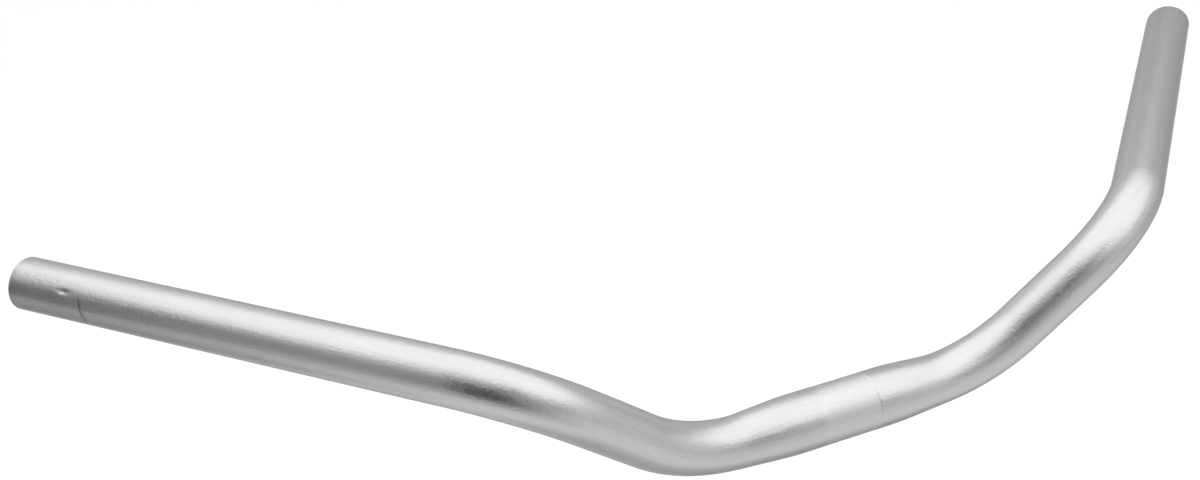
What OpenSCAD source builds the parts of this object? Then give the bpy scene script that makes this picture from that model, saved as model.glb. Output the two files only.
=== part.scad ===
// Handlebar for a city bike: one aluminium tube, swaged down from a thicker middle and bent twice on
// each side. The first bend lifts the tube away from the clamp, the second brings the grip back to
// the rider. Both ends are open and the bore runs through from end to end.
// The bar is drawn as it is ridden: the origin is in the middle of the clamped length, +X runs
// across the bike, +Y runs back to the rider and +Z is up. Sizes are in millimetres.

/* [Clamped middle] */
// Diameter of the middle, where the stem holds it
clamp_d = 25.4; // [24.4:0.1:26.4]
// Length of the middle at its full diameter
clamp_len = 46; // [30:1:60]
// Length of each taper from the middle down to the tube
taper_len = 21.5; // [12:0.5:40]

/* [Tube] */
// Outside diameter of the tube
tube_d = 22.2; // [21:0.1:23.8]
// Thickness of the wall
wall = 2.2; // [1.5:0.1:3]
// How far the wall's two faces draw in along a bend
bend_draw = 0.03; // [0.02:0.01:0.08]
// Broken edge at the open ends
end_break = 0.4; // [0.2:0.1:0.6]

/* [Bend beside the clamp] */
// Angle by which it lifts the tube
rise_angle = 41; // [25:1:55]
// Radius of its centre line
rise_radius = 70; // [55:1:100]
// Straight tube between the two bends
link_len = 32; // [10:1:60]

/* [Bend before the grip] */
// Angle by which the grip points back, seen from above
grip_sweep = 43; // [25:1:70]
// Angle by which the grip points down, seen from the front
grip_droop = 2; // [0:0.5:10]
// Radius of its centre line
sweep_radius = 57; // [45:1:90]

/* [Grip] */
// Straight tube that the grip slides onto
grip_len = 191; // [120:1:220]

/* [Hidden] */
// Facets of the round faces
round_fn = 96;
// Facets of a bend, counted for a whole turn
bend_fn = 200;
// Steps in the curve of each taper
taper_steps = 14;
// How far a straight reaches into the bend beside it
lap = 0.5;

clamp_r = clamp_d / 2;
tube_r = tube_d / 2;
bore_r = tube_r - wall;
bend_out_r = tube_r - bend_draw;
bend_in_r = bore_r + bend_draw;
half_clamp = clamp_len / 2;
half_mid = half_clamp + taper_len;

// Directions of the straight between the bends and of the grip
link_dir = [cos(rise_angle), 0, sin(rise_angle)];
grip_dir = [
    cos(grip_droop) * cos(grip_sweep),
    cos(grip_droop) * sin(grip_sweep),
    -sin(grip_droop)
];
// Angle of the second bend, and the direction from the tube to the bend's centre
turn_angle = acos(link_dir * grip_dir);
turn_dir = (grip_dir - cos(turn_angle) * link_dir) / sin(turn_angle);
up_dir = [0, 0, 1];
mid_dir = [1, 0, 0];
across_dir = [0, 1, 0];
// A direction square to the grip, in the plane of its bend
plane_dir = sin(turn_angle) * link_dir - cos(turn_angle) * turn_dir;

// Points where the straights and the bends meet
rise_start = [half_mid, 0, 0];
rise_centre = rise_start + rise_radius * up_dir;
link_start = rise_centre + rise_radius * (sin(rise_angle) * mid_dir - cos(rise_angle) * up_dir);
turn_start = link_start + link_len * link_dir;
turn_centre = turn_start + sweep_radius * turn_dir;
grip_start = turn_centre + sweep_radius * (sin(turn_angle) * link_dir - cos(turn_angle) * turn_dir);

// Radius of the tapers: a smooth half wave from the middle down to the tube
function taper_r(t) = clamp_r - (clamp_r - tube_r) * (1 - cos(180 * t)) / 2;
// A point of the middle's outline, end being 1 or -1, shifted inwards by drop
function taper_point(i, end, drop) = [
    taper_r(i / taper_steps) - drop,
    end * (half_clamp + taper_len * i / taper_steps)
];
// The middle's outline from one end to the other, shifted inwards by drop
function outline(drop) = concat(
    [[tube_r - drop, half_mid + lap]],
    [for (i = [taper_steps:-1:0]) taper_point(i, 1, drop)],
    [for (i = [0:taper_steps]) taper_point(i, -1, drop)],
    [[tube_r - drop, -half_mid - lap]]
);
function backwards(list) = [for (i = [len(list) - 1:-1:0]) list[i]];

// Puts a child's z axis along dir, with its origin at a point and its x axis along side
module along(dir, at, side) {
    third = cross(dir, side);
    multmatrix([
        [side[0], third[0], dir[0], at[0]],
        [side[1], third[1], dir[1], at[1]],
        [side[2], third[2], dir[2], at[2]],
        [0, 0, 0, 1]
    ])
        children();
}

// A bend that starts along dir and turns by angle round a centre, which lies towards inward
module bend(dir, inward, centre, radius, angle) {
    third = cross(-inward, dir);
    multmatrix([
        [-inward[0], dir[0], third[0], centre[0]],
        [-inward[1], dir[1], third[1], centre[1]],
        [-inward[2], dir[2], third[2], centre[2]],
        [0, 0, 0, 1]
    ])
        rotate_extrude(angle = angle, $fn = bend_fn)
            translate([radius, 0])
                difference() {
                    circle(r = bend_out_r, $fn = round_fn);
                    circle(r = bend_in_r, $fn = round_fn);
                }
}

// The clamped middle with its two tapers, hollow, lapped into the bends beside it
module middle() {
    rotate([0, 90, 0])
        rotate_extrude($fn = round_fn)
            polygon(concat(outline(0), backwards(outline(wall))));
}

// The bend that lifts the tube beside the clamp
module rise_bend() {
    bend(mid_dir, up_dir, rise_centre, rise_radius, rise_angle);
}

// The straight between the bends
module link() {
    along(link_dir, link_start - lap * link_dir, across_dir)
        rotate_extrude($fn = round_fn)
            translate([bore_r, 0])
                square([wall, link_len + 2 * lap]);
}

// The bend that turns the tube back to the rider
module turn_bend() {
    bend(link_dir, turn_dir, turn_centre, sweep_radius, turn_angle);
}

// The straight that the grip slides onto, with its open end and broken edges
module grip_tube() {
    along(grip_dir, grip_start, plane_dir)
        rotate_extrude($fn = round_fn)
            polygon([
                [bore_r, -lap],
                [tube_r, -lap],
                [tube_r, grip_len - end_break],
                [tube_r - end_break, grip_len],
                [bore_r + end_break, grip_len],
                [bore_r, grip_len - end_break]
            ]);
}

module side() {
    rise_bend();
    link();
    turn_bend();
    grip_tube();
}

// The whole bar, one tube
module handlebar() {
    color([0.78, 0.79, 0.80])
        union() {
            middle();
            side();
            mirror([1, 0, 0])
                side();
        }
}

handlebar();
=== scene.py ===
import bpy
import math
import numpy as np
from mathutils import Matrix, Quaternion


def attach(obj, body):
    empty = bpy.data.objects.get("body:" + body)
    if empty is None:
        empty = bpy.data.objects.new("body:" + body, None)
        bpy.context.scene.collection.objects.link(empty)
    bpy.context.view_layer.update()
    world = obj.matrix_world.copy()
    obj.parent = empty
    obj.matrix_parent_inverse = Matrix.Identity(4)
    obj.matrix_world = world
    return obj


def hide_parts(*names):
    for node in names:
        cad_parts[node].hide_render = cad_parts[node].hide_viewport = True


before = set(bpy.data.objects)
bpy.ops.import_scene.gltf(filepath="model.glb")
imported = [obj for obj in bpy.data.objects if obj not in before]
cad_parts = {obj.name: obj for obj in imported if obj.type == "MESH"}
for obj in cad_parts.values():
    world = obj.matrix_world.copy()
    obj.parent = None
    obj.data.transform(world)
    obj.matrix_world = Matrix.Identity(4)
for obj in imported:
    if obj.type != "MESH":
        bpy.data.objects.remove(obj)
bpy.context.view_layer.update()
scene = bpy.context.scene

# The bar's sizes, in metres, as in part.scad
CLAMP_R = 0.0127
TUBE_R = 0.0111
WALL = 0.0022
BEND_DRAW = 0.00003
HALF_MID = 0.0445
RISE_ANGLE = math.radians(41)
RISE_RADIUS = 0.070
LINK_LEN = 0.032
GRIP_SWEEP = math.radians(43)
GRIP_DROOP = math.radians(2)
SWEEP_RADIUS = 0.057
GRIP_LEN = 0.191
# The swaged taper dies out a little way into the first bend, which the CAD's plain bend leaves out
TAPER_FROM = 0.0195
TAPER_TO = 0.0550
# Length over which the tube draws in before a bend and widens again after it
BEND_EASE = 0.004
# Rounding of the outer and the inner edge of each end
END_ROUND = 0.00035
BORE_ROUND = 0.00030
# The skin stays this much inside the CAD's facets, and the ends this much inside its end faces
SKIN = 0.00004
END_GAP = 0.00018

# Crossed knurling on the clamped middle: diamonds round the bar, their length along it, groove depth
KNURL_TEETH = 60
KNURL_PITCH = 0.0013
KNURL_ROWS = 43
KNURL_DEPTH = 0.00026
KNURL_HALF = KNURL_ROWS * KNURL_PITCH / 4
# It comes in gently on the side of -X and ends sharply on the other
KNURL_IN = 0.005
KNURL_OUT = 0.0007

# A small struck dimple near the end of the rider's right grip: place along the bar, the way it faces, size
DIMPLE_S = -0.3483
DIMPLE_N = np.array((-0.52, -0.52, 0.68))
DIMPLE_LONG = 0.0025
DIMPLE_WIDE = 0.0009
DIMPLE_DEPTH = 0.00040
# A shallow tool mark beside it: steep on the side of the tip, easing out towards the middle of the bar
MARK_S = -0.3402
MARK_STEEP = 0.00030
MARK_EASY = 0.0014
MARK_DEPTH = 0.00006
# It runs round part of the tube and slants: shift per radian, its middle, half its reach and its fade
MARK_SLANT = 0.0022
MARK_TURN = 0.64
MARK_REACH = 0.60
MARK_FADE = 0.3

# Points round the plain tube, the bore, the knurling and the marked stretch
PLAIN_N = 96
BORE_N = 48
KNURL_N = 4 * KNURL_TEETH
MARK_N = 240
# The marked stretch, in lengths along the bar from its middle
MARK_FROM = 0.336
MARK_TO = 0.3545
# Distance between rings on the outside
MID_STEP = 0.0012
LINK_STEP = 0.002
TURN_STEP = 0.0011
GRIP_STEP = 0.003
MARK_STEP = 0.00025
KNURL_GAP = 0.0004
# Distance between rings in the bore
BORE_BEND_STEP = 0.003
BORE_LINK_STEP = 0.006
BORE_GRIP_STEP = 0.012
# Steps round each rounded edge of an end
ROUND_STEPS = 5
# Material slots of the tube
SKIN_SLOT, BORE_SLOT = 0, 1


def vec(*v):
    return np.array(v, float)


def turned(v, axis, angle):
    return (v * math.cos(angle) + np.cross(axis, v) * math.sin(angle)
            + axis * float(axis @ v) * (1 - math.cos(angle)))


def smooth(t):
    t = min(max(t, 0.0), 1.0)
    return t * t * (3 - 2 * t)


# Centre line of the +X side: directions of its straights, and the points where straights and bends meet
MID_DIR = vec(1, 0, 0)
UP = vec(0, 0, 1)
LINK_DIR = vec(math.cos(RISE_ANGLE), 0, math.sin(RISE_ANGLE))
GRIP_DIR = vec(math.cos(GRIP_DROOP) * math.cos(GRIP_SWEEP),
               math.cos(GRIP_DROOP) * math.sin(GRIP_SWEEP),
               -math.sin(GRIP_DROOP))
TURN_ANGLE = math.acos(float(LINK_DIR @ GRIP_DIR))
TURN_DIR = (GRIP_DIR - math.cos(TURN_ANGLE) * LINK_DIR) / math.sin(TURN_ANGLE)


def bend_point(start, along, inward, radius, angle):
    """A point of a bend that starts at a point along a direction and turns towards inward."""
    return start + radius * (math.sin(angle) * along + (1 - math.cos(angle)) * inward)


RISE_START = vec(HALF_MID, 0, 0)
LINK_START = bend_point(RISE_START, MID_DIR, UP, RISE_RADIUS, RISE_ANGLE)
TURN_START = LINK_START + LINK_LEN * LINK_DIR
GRIP_START = bend_point(TURN_START, LINK_DIR, TURN_DIR, SWEEP_RADIUS, TURN_ANGLE)

# The same points as lengths along the bar from its middle
S_RISE = HALF_MID
S_LINK = S_RISE + RISE_RADIUS * RISE_ANGLE
S_TURN = S_LINK + LINK_LEN
S_GRIP = S_TURN + SWEEP_RADIUS * TURN_ANGLE
S_END = S_GRIP + GRIP_LEN - END_GAP

# Axes of the two bends, and the normal that is carried along the centre line
RISE_AXIS = np.cross(MID_DIR, UP)
TURN_AXIS = np.cross(LINK_DIR, TURN_DIR)
UP_LINK = turned(UP, RISE_AXIS, RISE_ANGLE)
UP_GRIP = turned(UP_LINK, TURN_AXIS, TURN_ANGLE)


def station(s):
    """Point, direction and carried normal of the centre line at a length s from the middle, either side."""
    a = abs(s)
    if a <= S_RISE:
        p, t, u = MID_DIR * a, MID_DIR, UP
    elif a <= S_LINK:
        g = (a - S_RISE) / RISE_RADIUS
        p = bend_point(RISE_START, MID_DIR, UP, RISE_RADIUS, g)
        t, u = turned(MID_DIR, RISE_AXIS, g), turned(UP, RISE_AXIS, g)
    elif a <= S_TURN:
        p, t, u = LINK_START + LINK_DIR * (a - S_LINK), LINK_DIR, UP_LINK
    elif a <= S_GRIP:
        g = (a - S_TURN) / SWEEP_RADIUS
        p = bend_point(TURN_START, LINK_DIR, TURN_DIR, SWEEP_RADIUS, g)
        t, u = turned(LINK_DIR, TURN_AXIS, g), turned(UP_LINK, TURN_AXIS, g)
    else:
        p, t, u = GRIP_START + GRIP_DIR * (a - S_GRIP), GRIP_DIR, UP_GRIP
    if s < 0:
        flip = vec(-1, 1, 1)
        p, t, u = p * flip, -t * flip, u * flip
    return p, t, u


def tube_radius(s):
    """Outside radius along the bar: full in the middle, a half wave down, drawn in a hair in the bends."""
    a = abs(s)
    t = min(max((a - TAPER_FROM) / (TAPER_TO - TAPER_FROM), 0), 1)
    r = CLAMP_R - (CLAMP_R - TUBE_R) * (1 - math.cos(math.pi * t)) / 2
    for lo, hi in ((S_RISE, S_LINK), (S_TURN, S_GRIP)):
        r -= BEND_DRAW * smooth((a - lo + BEND_EASE) / BEND_EASE) * smooth((hi + BEND_EASE - a) / BEND_EASE)
    return r - SKIN


# Relief of the surface
def dimple_angle():
    """The angle round the tube at which the dimple lies."""
    t, u = station(DIMPLE_S)[1:]
    b = np.cross(t, u)
    return math.atan2(float(DIMPLE_N @ b), float(DIMPLE_N @ u))


DIMPLE_A = dimple_angle()


def tool_mark(s, turn):
    """1 at the bottom of the tool mark, 0 away from it; turn is the angle from the dimple."""
    off = s - MARK_S - MARK_SLANT * (turn - MARK_TURN)
    wide = MARK_STEEP if off < 0 else MARK_EASY
    return math.exp(-(off / wide) ** 2) * smooth((MARK_REACH - abs(turn - MARK_TURN)) / MARK_FADE)


def marks(s, ang):
    """Depth of the marks under the plain tube, in metres, and how much painted shade the tool mark's groove
    gets, from 0 to 1.
    """
    turn = (ang - DIMPLE_A + math.pi) % (2 * math.pi) - math.pi
    dent = math.exp(-((s - DIMPLE_S) / DIMPLE_LONG) ** 2 - (turn * TUBE_R / DIMPLE_WIDE) ** 2)
    groove_and_shade = tool_mark(s, turn)
    return DIMPLE_DEPTH * dent + MARK_DEPTH * groove_and_shade, groove_and_shade


def knurl_share(s):
    """How fully the knurling is pressed in at a length s, from 0 to 1."""
    return smooth((s + KNURL_HALF) / KNURL_IN) * smooth((KNURL_HALF - s) / KNURL_OUT)


def knurl(s, ang):
    """Depth of the crossed grooves, 0 on the crests; no painted shade there."""
    u, v = ang * KNURL_TEETH / (2 * math.pi), s / KNURL_PITCH
    near = min(abs(q - round(q)) for q in (u + v, u - v))
    return KNURL_DEPTH * (1 - 2 * near) * knurl_share(s), 0.0


# The tube's mesh: rings along the outside, round the end, back through the bore and round the far end
def spans(stops):
    """Station lengths from a list of (from, to, step)."""
    out = []
    for lo, hi, step in stops:
        n = max(1, round((hi - lo) / step))
        out += [lo + (hi - lo) * i / n for i in range(n)]
    return out


def quarter(r):
    """Offsets (along, in) of a quarter round edge."""
    angles = [math.pi / 2 * i / ROUND_STEPS for i in range(ROUND_STEPS + 1)]
    return [(r * math.sin(a), r * (1 - math.cos(a))) for a in angles]


def outside_rings():
    """(s, radius, points round, relief) of the outside, from the -X end to the +X end."""
    lip_s = S_END - END_ROUND
    bent = spans([(KNURL_HALF + KNURL_GAP, S_RISE, MID_STEP), (S_RISE, S_LINK, MID_STEP),
                  (S_LINK, S_TURN, LINK_STEP), (S_TURN, S_GRIP, TURN_STEP)])
    grip = spans([(S_GRIP, lip_s, GRIP_STEP)])
    marked = spans([(S_GRIP, MARK_FROM, GRIP_STEP), (MARK_FROM, MARK_TO, MARK_STEP),
                    (MARK_TO, lip_s, GRIP_STEP)])
    out = []
    for a in reversed(bent + marked):
        fine = MARK_FROM < a < MARK_TO
        out.append((-a, MARK_N, marks) if fine else (-a, PLAIN_N, None))
    out += [(i * KNURL_PITCH / 4, KNURL_N, knurl) for i in range(-KNURL_ROWS, KNURL_ROWS + 1)]
    out += [(a, PLAIN_N, None) for a in bent + grip]
    return [(s, tube_radius(s), n, relief) for s, n, relief in out]


def lip_rings():
    """The +X end: its rounded outer edge, its face and its rounded inner edge."""
    outer_r = TUBE_R - SKIN
    inner_r = outer_r - WALL
    lip = [(S_END - END_ROUND + along, outer_r - drop, PLAIN_N, None) for along, drop in quarter(END_ROUND)]
    return lip + [(S_END - drop, inner_r + BORE_ROUND - along, PLAIN_N, None)
                  for along, drop in quarter(BORE_ROUND)]


def bore_rings():
    """The bore, from the +X end to the -X end."""
    last = S_END - BORE_BEND_STEP
    half = spans([(0, S_RISE, BORE_BEND_STEP), (S_RISE, S_LINK, BORE_BEND_STEP),
                  (S_LINK, S_TURN, BORE_LINK_STEP), (S_TURN, S_GRIP, BORE_BEND_STEP),
                  (S_GRIP, last, BORE_GRIP_STEP)]) + [last]
    return [(s, tube_radius(s) - WALL, BORE_N, None) for s in half[::-1] + [-a for a in half[1:]]]


def rings():
    lip = lip_rings()
    far_lip = [(-s, r, n, relief) for s, r, n, relief in reversed(lip)]
    return outside_rings() + lip + bore_rings() + far_lip


def band(first, second, n0, n1):
    """Faces between two rings, which may have different numbers of points."""
    if n0 == n1:
        return [(first + i, first + (i + 1) % n0, second + (i + 1) % n0, second + i) for i in range(n0)]
    faces, i, j = [], 0, 0
    while i < n0 or j < n1:
        if j >= n1 or (i < n0 and (i + 1) * n1 <= (j + 1) * n0):
            faces.append((first + i % n0, first + (i + 1) % n0, second + j % n1))
            i += 1
        else:
            faces.append((first + i % n0, second + (j + 1) % n1, second + j % n1))
            j += 1
    return faces


def build_tube():
    """The tube, one closed mesh.

    It also carries each point's place on the bar laid out straight, how knurled it is, which also places a
    painted sheen, and how much painted shade the tool mark's groove gets.
    """
    verts, faces, slots, starts, unbent, mark_shade, knurled = [], [], [], [], [], [], []
    loop = rings()
    for s, r, n, relief in loop:
        p, t, u = station(s)
        b = np.cross(t, u)
        starts.append(len(verts))
        for i in range(n):
            ang = 2 * math.pi * i / n
            sunk, groove_and_shade = relief(s, ang) if relief else (0.0, 0.0)
            verts.append(tuple(p + (r - sunk) * (math.cos(ang) * u + math.sin(ang) * b)))
            unbent += [s, r * math.cos(ang), r * math.sin(ang)]
            # Share of painted shade in the tool mark's groove
            mark_shade.append(groove_and_shade)
            knurled.append(knurl_share(s) if relief is knurl else 0.0)
    counts = [n for s, r, n, relief in loop]
    for k, n0 in enumerate(counts):
        k2 = (k + 1) % len(loop)
        n1 = counts[k2]
        made = band(starts[k], starts[k2], n0, n1)
        faces += made
        slots += [BORE_SLOT if BORE_N in (n0, n1) else SKIN_SLOT] * len(made)
    mesh = bpy.data.meshes.new("handlebar_tube")
    mesh.from_pydata(verts, [], faces)
    mesh.polygons.foreach_set("material_index", slots)
    mesh.polygons.foreach_set("use_smooth", [True] * len(faces))
    mesh.attributes.new("unbent", "FLOAT_VECTOR", "POINT").data.foreach_set("vector", unbent)
    mesh.attributes.new("mark_shade", "FLOAT", "POINT").data.foreach_set("value", mark_shade)
    mesh.attributes.new("knurled", "FLOAT", "POINT").data.foreach_set("value", knurled)
    mesh.update()
    obj = bpy.data.objects.new("handlebar_tube", mesh)
    scene.collection.objects.link(obj)
    return obj


# Materials
class Nodes:
    """Short names for building a node tree, which is emptied first."""

    def __init__(self, owner):
        owner.use_nodes = True
        self.tree = owner.node_tree
        self.tree.nodes.clear()

    def add(self, kind, **sets):
        node = self.tree.nodes.new(kind)
        for key, value in sets.items():
            if hasattr(node, key):
                setattr(node, key, value)
            else:
                node.inputs[key.replace("_", " ")].default_value = value
        return node

    def link(self, out, into):
        self.tree.links.new(out, into)


# Grey and roughness of the metal, outside and in the bore
SATIN_TONE = 0.51
SATIN_ROUGH = 0.31
BORE_TONE = 0.38
BORE_ROUGH = 0.48
# Noise patterns of the metal, in cycles a metre, and how deep they stand, in metres: blasted grain, soft
# unevenness of about a millimetre, slow change of tone, and lines from drawing the tube
FINE_SCALE = 1400.0
FINE_DEPTH = 0.00005
SOFT_SCALE = 800.0
SOFT_DEPTH = 0.00009
SLOW_SCALE = 28.0
DRAWN_SCALE = 900.0
DRAWN_DEPTH = 0.00005
# Along the tube the drawn pattern has only this share of its cycles, so that it makes lines
DRAWN_STRETCH = 0.05
# Octaves of the finer and of the softer patterns, and how strong each octave is beside the one before
FINE_DETAIL = 3.0
SOFT_DETAIL = 2.0
OCTAVE = 0.6
SLOW_OCTAVE = 0.5
# Spread of the metal's tone, and the patterns' shares in it
TONE_SPREAD = 0.18
SOFT_SHARE = 0.4
DRAWN_SHARE = 0.4
SLOW_SHARE = 0.2
# The knurled band is duller, and painted paler as a painted sheen for the highlight that its teeth spread;
# the tool mark's bottom is painted darker, a painted shade in its groove
KNURL_SHEEN_TONE = 1.12
KNURL_DULL = 0.11
MARK_SHADE_TONE = 0.58
# Spread of the roughness, over the middle of the soft pattern
ROUGH_SPREAD = 0.035
SOFT_LOW = 0.3
SOFT_HIGH = 0.7
# Anodised metal dims a little where it is seen edge on
RIM_TONE = 0.5


def grey(level):
    return (level, level, level, 1.0)


def metal_patterns(t):
    """The four noise patterns; the drawn lines follow the tube round its bends."""
    coord = t.add("ShaderNodeTexCoord")
    fine = t.add("ShaderNodeTexNoise", Scale=FINE_SCALE, Detail=FINE_DETAIL, Roughness=OCTAVE)
    soft = t.add("ShaderNodeTexNoise", Scale=SOFT_SCALE, Detail=SOFT_DETAIL, Roughness=OCTAVE)
    slow = t.add("ShaderNodeTexNoise", Scale=SLOW_SCALE, Detail=SOFT_DETAIL, Roughness=SLOW_OCTAVE)
    for pattern in (fine, soft, slow):
        t.link(coord.outputs["Object"], pattern.inputs["Vector"])
    laid = t.add("ShaderNodeAttribute", attribute_name="unbent")
    stretch = t.add("ShaderNodeMapping", Scale=(DRAWN_STRETCH, 1.0, 1.0))
    drawn = t.add("ShaderNodeTexNoise", Scale=DRAWN_SCALE, Detail=FINE_DETAIL, Roughness=OCTAVE)
    t.link(laid.outputs["Vector"], stretch.inputs["Vector"])
    t.link(stretch.outputs["Vector"], drawn.inputs["Vector"])
    return fine, soft, slow, drawn


def weighted_sum(t, parts):
    """One value from (pattern, share) pairs."""
    total = None
    for pattern, share in parts:
        part = t.add("ShaderNodeMath", operation="MULTIPLY_ADD")
        t.link(pattern.outputs["Fac"], part.inputs[0])
        part.inputs[1].default_value = share
        part.inputs[2].default_value = 0.0
        if total:
            t.link(total.outputs[0], part.inputs[2])
        total = part
    return total.outputs[0]


def tinted(t, under, where, level):
    """Another grey laid over a colour where an attribute asks for it."""
    mix = t.add("ShaderNodeMix", data_type="RGBA")
    mix.inputs["B"].default_value = grey(level)
    t.link(where.outputs["Fac"], mix.inputs["Factor"])
    t.link(under, mix.inputs["A"])
    return mix.outputs["Result"]


def metal_roughness(t, soft, knurled, rough):
    """Roughness that wanders a little with the soft pattern and is higher on the knurling."""
    ramp = t.add("ShaderNodeMapRange")
    ramp.inputs["From Min"].default_value = SOFT_LOW
    ramp.inputs["From Max"].default_value = SOFT_HIGH
    ramp.inputs["To Min"].default_value = rough - ROUGH_SPREAD
    ramp.inputs["To Max"].default_value = rough + ROUGH_SPREAD
    t.link(soft.outputs["Fac"], ramp.inputs["Value"])
    duller = t.add("ShaderNodeMath", operation="MULTIPLY_ADD")
    t.link(knurled.outputs["Fac"], duller.inputs[0])
    duller.inputs[1].default_value = KNURL_DULL
    t.link(ramp.outputs["Result"], duller.inputs[2])
    return duller.outputs[0]


def metal_relief(t, layers):
    """A normal from (pattern, depth) layers, each laid over the one before."""
    below = None
    for pattern, depth in layers:
        bump = t.add("ShaderNodeBump", Distance=depth, Strength=1.0)
        t.link(pattern.outputs["Fac"], bump.inputs["Height"])
        if below:
            t.link(below.outputs["Normal"], bump.inputs["Normal"])
        below = bump
    return below.outputs["Normal"]


def satin_aluminium(name, level, rough):
    """Blasted and anodised aluminium of one grey."""
    mat = bpy.data.materials.new(name)
    t = Nodes(mat)
    out = t.add("ShaderNodeOutputMaterial")
    bsdf = t.add("ShaderNodeBsdfPrincipled")
    bsdf.inputs["Metallic"].default_value = 1.0
    bsdf.inputs["Specular Tint"].default_value = grey(RIM_TONE)
    t.link(bsdf.outputs["BSDF"], out.inputs["Surface"])
    fine, soft, slow, drawn = metal_patterns(t)
    knurled = t.add("ShaderNodeAttribute", attribute_name="knurled")
    mark_shade = t.add("ShaderNodeAttribute", attribute_name="mark_shade")
    # Nearly even, a little darker in the hollows of the patterns
    tone = t.add("ShaderNodeMix", data_type="RGBA")
    tone.inputs["A"].default_value = grey(level * (1 - TONE_SPREAD))
    tone.inputs["B"].default_value = grey(level * (1 + TONE_SPREAD))
    shares = ((soft, SOFT_SHARE), (drawn, DRAWN_SHARE), (slow, SLOW_SHARE))
    t.link(weighted_sum(t, shares), tone.inputs["Factor"])
    # Painted sheen: the knurled band is painted paler, standing in for the highlight that the knurling
    # spreads
    knurl_sheen = tinted(t, tone.outputs["Result"], knurled, level * KNURL_SHEEN_TONE)
    # Painted shade: the bottom of the tool mark's groove is painted darker
    painted_sheen_and_shade = tinted(t, knurl_sheen, mark_shade, level * MARK_SHADE_TONE)
    t.link(painted_sheen_and_shade, bsdf.inputs["Base Color"])
    t.link(metal_roughness(t, soft, knurled, rough), bsdf.inputs["Roughness"])
    layers = ((drawn, DRAWN_DEPTH), (soft, SOFT_DEPTH), (fine, FINE_DEPTH))
    t.link(metal_relief(t, layers), bsdf.inputs["Normal"])
    return mat


tube = build_tube()
tube.data.materials.append(satin_aluminium("satin_aluminium", SATIN_TONE, SATIN_ROUGH))
tube.data.materials.append(satin_aluminium("drawn_bore", BORE_TONE, BORE_ROUGH))
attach(tube, "root")
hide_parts("handlebar")

# Floor: round, plain and pale, well below the bar, which the stem would hold up
FLOOR_Z = -0.9
FLOOR_R = 3.2
# Width of the rim over which it fades into the white world
FLOOR_FADE = 2.2
FLOOR_TONE = 0.8
# Lifts the floor to white where the camera or the metal sees it
FLOOR_FILL = 0.38
FLOOR_AROUND = 96
FLOOR_STEPS = 24

# The world is white where it is seen and softer where it lights
WORLD_SEEN = 1.0
WORLD_LIGHTS = 0.5

# Faces along and up a studio flag
CARD_COLS = 36
CARD_ROWS = 24


def background_rays(t):
    """1 for the rays that see the background: from the camera, off metal and through glass."""
    path = t.add("ShaderNodeLightPath")
    first = t.add("ShaderNodeMath", operation="MAXIMUM")
    t.link(path.outputs["Is Camera Ray"], first.inputs[0])
    t.link(path.outputs["Is Glossy Ray"], first.inputs[1])
    both = t.add("ShaderNodeMath", operation="MAXIMUM")
    t.link(first.outputs[0], both.inputs[0])
    t.link(path.outputs["Is Transmission Ray"], both.inputs[1])
    return both.outputs[0]


def soft_bordered(t, shader, out):
    """Lets a shader fade out where the mesh's cover attribute falls to nothing."""
    clear = t.add("ShaderNodeBsdfTransparent")
    cover = t.add("ShaderNodeAttribute", attribute_name="cover")
    mix = t.add("ShaderNodeMixShader")
    t.link(cover.outputs["Fac"], mix.inputs["Fac"])
    t.link(clear.outputs[0], mix.inputs[1])
    t.link(shader.outputs[0], mix.inputs[2])
    t.link(mix.outputs[0], out.inputs["Surface"])


def covered_mesh(name, verts, faces, cover, mat):
    mesh = bpy.data.meshes.new(name)
    mesh.from_pydata(verts, [], faces)
    mesh.attributes.new("cover", "FLOAT", "POINT").data.foreach_set("value", cover)
    mesh.materials.append(mat)
    obj = bpy.data.objects.new(name, mesh)
    scene.collection.objects.link(obj)
    return obj


def floor_material():
    mat = bpy.data.materials.new("floor_pale")
    t = Nodes(mat)
    out = t.add("ShaderNodeOutputMaterial")
    diffuse = t.add("ShaderNodeBsdfDiffuse")
    diffuse.inputs["Color"].default_value = grey(FLOOR_TONE)
    glow = t.add("ShaderNodeEmission")
    level = t.add("ShaderNodeMath", operation="MULTIPLY")
    t.link(background_rays(t), level.inputs[0])
    level.inputs[1].default_value = FLOOR_FILL
    t.link(level.outputs[0], glow.inputs["Strength"])
    add = t.add("ShaderNodeAddShader")
    t.link(diffuse.outputs[0], add.inputs[0])
    t.link(glow.outputs[0], add.inputs[1])
    soft_bordered(t, add, out)
    return mat


def floor_disk():
    """A round floor that fades into the white world at its rim."""
    n = FLOOR_AROUND
    verts, cover = [(0, 0, FLOOR_Z)], [1.0]
    for j in range(1, FLOOR_STEPS + 1):
        r = FLOOR_R * j / FLOOR_STEPS
        for i in range(n):
            a = 2 * math.pi * i / n
            verts.append((r * math.cos(a), r * math.sin(a), FLOOR_Z))
            cover.append(smooth((FLOOR_R - r) / FLOOR_FADE))
    faces = [(0, 1 + i, 1 + (i + 1) % n) for i in range(n)]
    for j in range(FLOOR_STEPS - 1):
        inner = 1 + j * n
        outer = inner + n
        faces += [(inner + i, outer + i, outer + (i + 1) % n, inner + (i + 1) % n) for i in range(n)]
    return covered_mesh("floor", verts, faces, cover, floor_material())


def card_material(name, level):
    """A plain panel of one tone with a soft border, which its mesh carries as an attribute."""
    mat = bpy.data.materials.new(name)
    t = Nodes(mat)
    out = t.add("ShaderNodeOutputMaterial")
    glow = t.add("ShaderNodeEmission")
    glow.inputs["Strength"].default_value = level
    soft_bordered(t, glow, out)
    return mat


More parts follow.
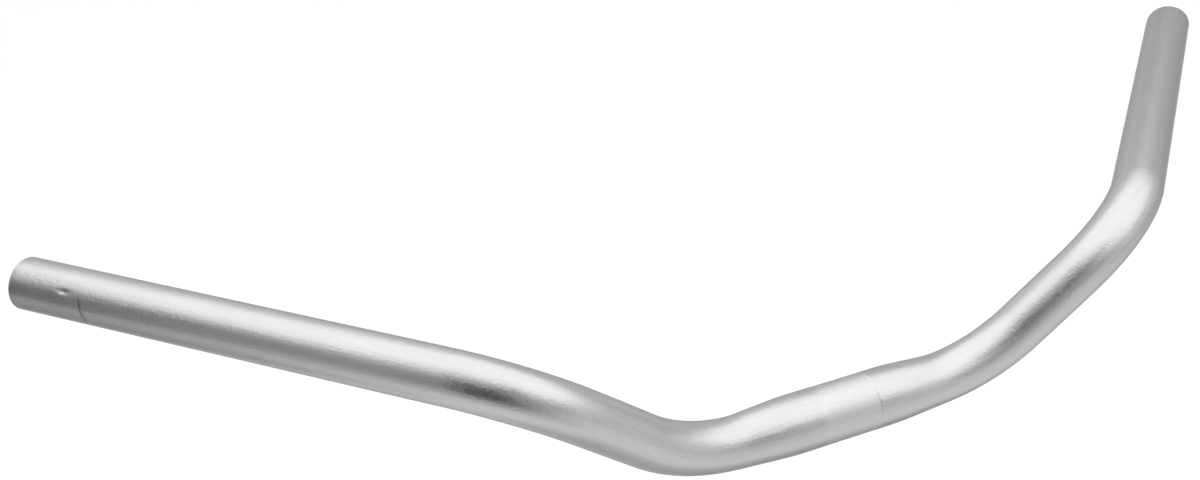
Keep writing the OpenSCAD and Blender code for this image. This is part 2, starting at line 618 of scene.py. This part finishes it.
def card(name, middle, far, az, el, level, soft):
    """A curved studio flag round a middle point, which only the metal sees.

    far is its distance. az and el are its ranges in degrees, az 0 being straight ahead of the bar and el 90
    straight up. level is its tone and soft the width of its border in degrees.
    """
    verts, cover, faces = [], [], []
    for j in range(CARD_ROWS + 1):
        for i in range(CARD_COLS + 1):
            a, e = az[0] + (az[1] - az[0]) * i / CARD_COLS, el[0] + (el[1] - el[0]) * j / CARD_ROWS
            rim = min(a - az[0], az[1] - a, e - el[0], el[1] - e)
            cover.append(smooth(rim / soft))
            a, e = math.radians(a), math.radians(e)
            verts.append((middle[0] + far * math.sin(a) * math.cos(e),
                          middle[1] - far * math.cos(a) * math.cos(e),
                          middle[2] + far * math.sin(e)))
    row = CARD_COLS + 1
    for j in range(CARD_ROWS):
        for i in range(CARD_COLS):
            k = j * row + i
            faces.append((k, k + 1, k + row + 1, k + row))
    obj = covered_mesh(name, verts, faces, cover, card_material(name, level))
    obj.visible_camera = False
    obj.visible_diffuse = False
    obj.visible_shadow = False


def soft_box(name, place, size, radiance):
    """A round soft light that faces straight down. Its power is its radiance times pi times its area."""
    data = bpy.data.lights.new(name, "AREA")
    data.shape = "DISK"
    data.size = size
    data.energy = radiance * math.pi * math.pi * size * size / 4
    obj = bpy.data.objects.new(name, data)
    obj.location = place
    scene.collection.objects.link(obj)
    obj.visible_camera = False


def white_world():
    world = bpy.data.worlds.new("studio")
    t = Nodes(world)
    out = t.add("ShaderNodeOutputWorld")
    background = t.add("ShaderNodeBackground")
    background.inputs["Color"].default_value = grey(1.0)
    level = t.add("ShaderNodeMapRange")
    t.link(background_rays(t), level.inputs["Value"])
    level.inputs["To Min"].default_value = WORLD_LIGHTS
    level.inputs["To Max"].default_value = WORLD_SEEN
    t.link(level.outputs["Result"], background.inputs["Strength"])
    t.link(background.outputs[0], out.inputs["Surface"])
    return world


floor_disk()

# Flags as round a product table, about the middle of the bar and of each grip
BAR_MID = (0.0, 0.07, 0.03)
GRIP_MID = (-0.23, 0.08, 0.05)
OTHER_GRIP_MID = (0.23, 0.08, 0.05)
card("flag_front", BAR_MID, 1.5, (-99, 20), (-29, 76), 0.24, 44)
card("flag_core", BAR_MID, 1.4, (-55, -17), (-7, 39), 0.02, 7)
card("flag_high", BAR_MID, 1.45, (-22, 12), (36, 58), 0.25, 9)
card("flag_side", GRIP_MID, 1.1, (-145, -71), (-74, 48), 0.50, 15)
card("flag_tip", GRIP_MID, 1.05, (-106, -76), (-20, 29), 0.14, 7)
card("flag_right", BAR_MID, 1.6, (-14, 43), (-4, 50), 0.43, 29)
card("flag_low", OTHER_GRIP_MID, 1.3, (15, 125), (-21, 12), 0.46, 28)
card("flag_back", BAR_MID, 1.7, (94, 158), (1, 37), 0.76, 8)
card("flag_under", BAR_MID, 0.8, (-73, 99), (-90, -48), 0.70, 6)

soft_box("soft_top", place=(0.21, 0.05, 1.9), size=6.2, radiance=0.75)
scene.world = white_world()
scene.view_settings.view_transform = "Standard"

# Camera, at the photograph's viewing angle: its place, its turn as a quaternion and its lens
CAMERA_PLACE = (-0.245957, -0.324418, 0.374139)
CAMERA_TURN = (0.8726183, 0.4459581, -0.0898083, -0.1777448)
CAMERA_LENS = 38.333
SENSOR_WIDTH = 36.0
NEAR, FAR = 0.01, 100.0

cam_data = bpy.data.cameras.new("camera")
cam_data.sensor_width = SENSOR_WIDTH
cam_data.lens = CAMERA_LENS
cam_data.clip_start = NEAR
cam_data.clip_end = FAR
camera = bpy.data.objects.new("camera", cam_data)
camera.location = CAMERA_PLACE
camera.rotation_mode = "QUATERNION"
camera.rotation_quaternion = Quaternion(CAMERA_TURN)
scene.collection.objects.link(camera)
scene.camera = camera
